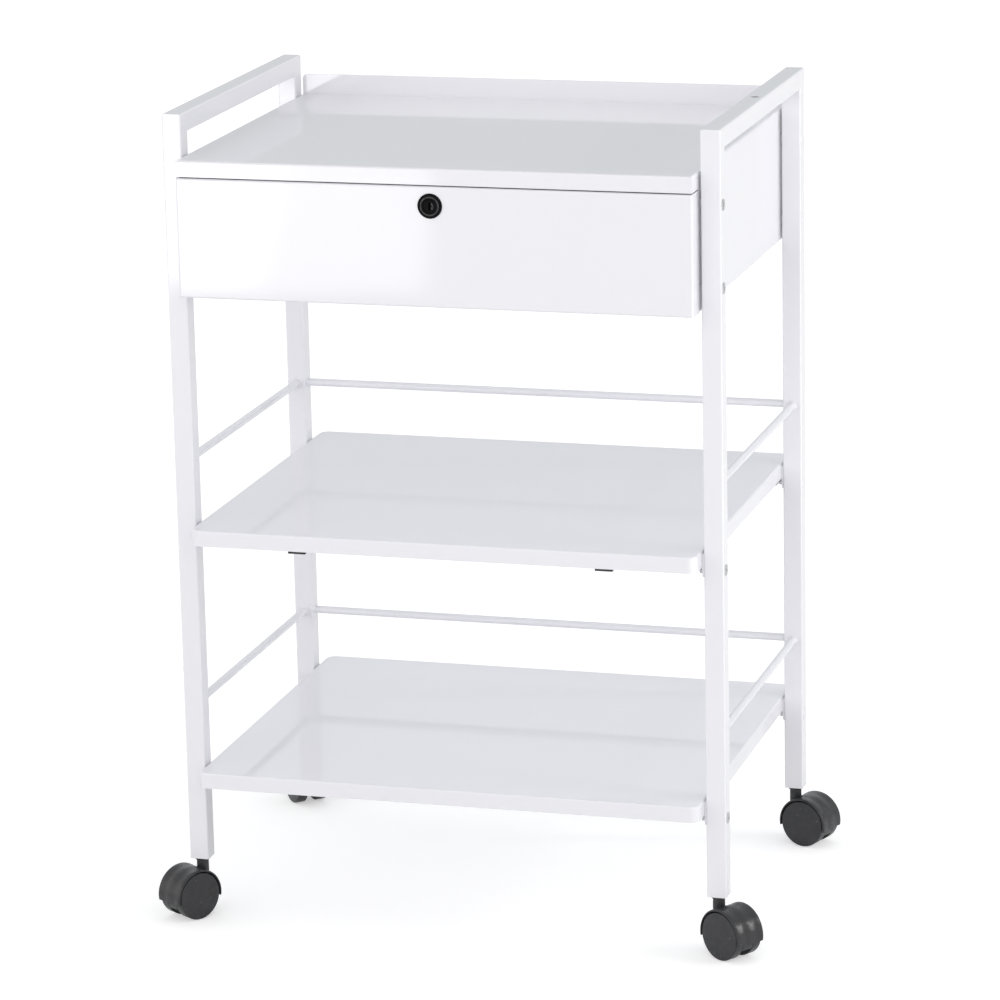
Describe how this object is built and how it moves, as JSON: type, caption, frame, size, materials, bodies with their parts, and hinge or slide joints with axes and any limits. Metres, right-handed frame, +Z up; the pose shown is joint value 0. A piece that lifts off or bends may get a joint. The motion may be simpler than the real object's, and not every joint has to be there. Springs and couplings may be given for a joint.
{
  "type": "salon trolley",
  "caption": "Salon trolley of white steel on hooded twin-wheel casters, with a lipped top tray, a lockable drawer under it and open shelves with guard rods.",
  "frame": {"origin": "on the floor, midway between the four legs", "axes": "+Z up, -Y towards the drawer front, +X to the right seen from the front"},
  "size_m": [0.6445, 0.4558, 0.8435],
  "materials": {
    "white_paint": "semi-gloss powder coat",
    "white_nylon": "matte",
    "charcoal_plastic": "satin moulded",
    "black_rubber": "matte",
    "black_steel": "satin black",
    "zinc_steel": "zinc plated"
  },
  "bodies": {
    "frame": {"front_left_leg": "white_paint", "front_right_leg": "white_paint", "rear_left_leg": "white_paint", "rear_right_leg": "white_paint", "left_top_rail": "white_paint", "right_top_rail": "white_paint", "upper_left_guard": "white_paint", "upper_right_guard": "white_paint", "upper_rear_guard": "white_paint", "lower_left_guard": "white_paint", "lower_right_guard": "white_paint", "lower_rear_guard": "white_paint", "top_tray": "white_paint", "housing_rear_panel": "white_paint", "middle_shelf": "white_paint", "bottom_shelf": "white_paint", "middle_shelf_brackets": "white_paint", "bottom_shelf_brackets": "white_paint", "housing_spacers": "white_paint", "leg_end_sockets": "white_nylon", "middle_shelf_pads": "black_rubber", "caster_stems": "zinc_steel", "lock_strike": "zinc_steel", "left_slide_channel": "zinc_steel", "right_slide_channel": "zinc_steel"},
    "drawer": {"drawer_front": "white_paint", "drawer_box": "white_paint", "left_slide_runner": "zinc_steel", "right_slide_runner": "zinc_steel", "lock_barrel": "black_steel", "lock_nut": "zinc_steel"},
    "lock": {"lock_plug": "black_steel", "lock_cam": "zinc_steel", "lock_cam_screw": "zinc_steel"},
    "left_slide": {"left_slide_middle": "zinc_steel"},
    "right_slide": {"right_slide_middle": "zinc_steel"},
    "front_left_caster": {"front_left_caster_hood": "charcoal_plastic", "front_left_caster_axle": "zinc_steel"},
    "front_left_wheel_a": {"front_left_caster_wheel_a": "charcoal_plastic"},
    "front_left_wheel_b": {"front_left_caster_wheel_b": "charcoal_plastic"},
    "front_right_caster": {"front_right_caster_hood": "charcoal_plastic", "front_right_caster_axle": "zinc_steel"},
    "front_right_wheel_a": {"front_right_caster_wheel_a": "charcoal_plastic"},
    "front_right_wheel_b": {"front_right_caster_wheel_b": "charcoal_plastic"},
    "rear_left_caster": {"rear_left_caster_hood": "charcoal_plastic", "rear_left_caster_axle": "zinc_steel"},
    "rear_left_wheel_a": {"rear_left_caster_wheel_a": "charcoal_plastic"},
    "rear_left_wheel_b": {"rear_left_caster_wheel_b": "charcoal_plastic"},
    "rear_right_caster": {"rear_right_caster_hood": "charcoal_plastic", "rear_right_caster_axle": "zinc_steel"},
    "rear_right_wheel_a": {"rear_right_caster_wheel_a": "charcoal_plastic"},
    "rear_right_wheel_b": {"rear_right_caster_wheel_b": "charcoal_plastic"}
  },
  "joints": [
    {"name": "drawer_slide", "type": "slide", "parent": "frame", "child": "drawer", "axis": [0, -1, 0], "range_m": [0, 0.3]},
    {"name": "left_slide_travel", "type": "slide", "parent": "frame", "child": "left_slide", "axis": [0, -1, 0], "range_m": [0, 0.15]},
    {"name": "right_slide_travel", "type": "slide", "parent": "frame", "child": "right_slide", "axis": [0, -1, 0], "range_m": [0, 0.15]},
    {"name": "lock_turn", "type": "hinge", "parent": "drawer", "child": "lock", "pos_m": [0, -0.217, 0.7648], "axis": [0, -1, 0], "range_deg": [0, 90]},
    {"name": "front_left_swivel", "type": "hinge", "parent": "frame", "child": "front_left_caster", "pos_m": [-0.276, -0.1805, 0.061], "axis": [0, 0, 1], "continuous": true},
    {"name": "front_left_roll_a", "type": "hinge", "parent": "front_left_caster", "child": "front_left_wheel_a", "pos_m": [-0.28578, -0.19585, 0.025], "axis": [-0.8434, 0.5373, 0], "continuous": true},
    {"name": "front_left_roll_b", "type": "hinge", "parent": "front_left_caster", "child": "front_left_wheel_b", "pos_m": [-0.28578, -0.19585, 0.025], "axis": [-0.8434, 0.5373, 0], "continuous": true},
    {"name": "front_right_swivel", "type": "hinge", "parent": "frame", "child": "front_right_caster", "pos_m": [0.276, -0.1805, 0.061], "axis": [0, 0, 1], "continuous": true},
    {"name": "front_right_roll_a", "type": "hinge", "parent": "front_right_caster", "child": "front_right_wheel_a", "pos_m": [0.29121, -0.19049, 0.025], "axis": [-0.549, -0.8358, 0], "continuous": true},
    {"name": "front_right_roll_b", "type": "hinge", "parent": "front_right_caster", "child": "front_right_wheel_b", "pos_m": [0.29121, -0.19049, 0.025], "axis": [-0.549, -0.8358, 0], "continuous": true},
    {"name": "rear_left_swivel", "type": "hinge", "parent": "frame", "child": "rear_left_caster", "pos_m": [-0.276, 0.1805, 0.061], "axis": [0, 0, 1], "continuous": true},
    {"name": "rear_left_roll_a", "type": "hinge", "parent": "rear_left_caster", "child": "rear_left_wheel_a", "pos_m": [-0.2877, 0.19444, 0.025], "axis": [0.766, 0.6428, 0], "continuous": true},
    {"name": "rear_left_roll_b", "type": "hinge", "parent": "rear_left_caster", "child": "rear_left_wheel_b", "pos_m": [-0.2877, 0.19444, 0.025], "axis": [0.766, 0.6428, 0], "continuous": true},
    {"name": "rear_right_swivel", "type": "hinge", "parent": "frame", "child": "rear_right_caster", "pos_m": [0.276, 0.1805, 0.061], "axis": [0, 0, 1], "continuous": true},
    {"name": "rear_right_roll_a", "type": "hinge", "parent": "rear_right_caster", "child": "rear_right_wheel_a", "pos_m": [0.29316, 0.17442, 0.025], "axis": [-0.3338, -0.9426, 0], "continuous": true},
    {"name": "rear_right_roll_b", "type": "hinge", "parent": "rear_right_caster", "child": "rear_right_wheel_b", "pos_m": [0.29316, 0.17442, 0.025], "axis": [-0.3338, -0.9426, 0], "continuous": true}
  ],
  "couplings": [
    {"joint": "left_slide_travel", "follows": "drawer_slide", "ratio": 0.5},
    {"joint": "right_slide_travel", "follows": "drawer_slide", "ratio": 0.5}
  ]
}
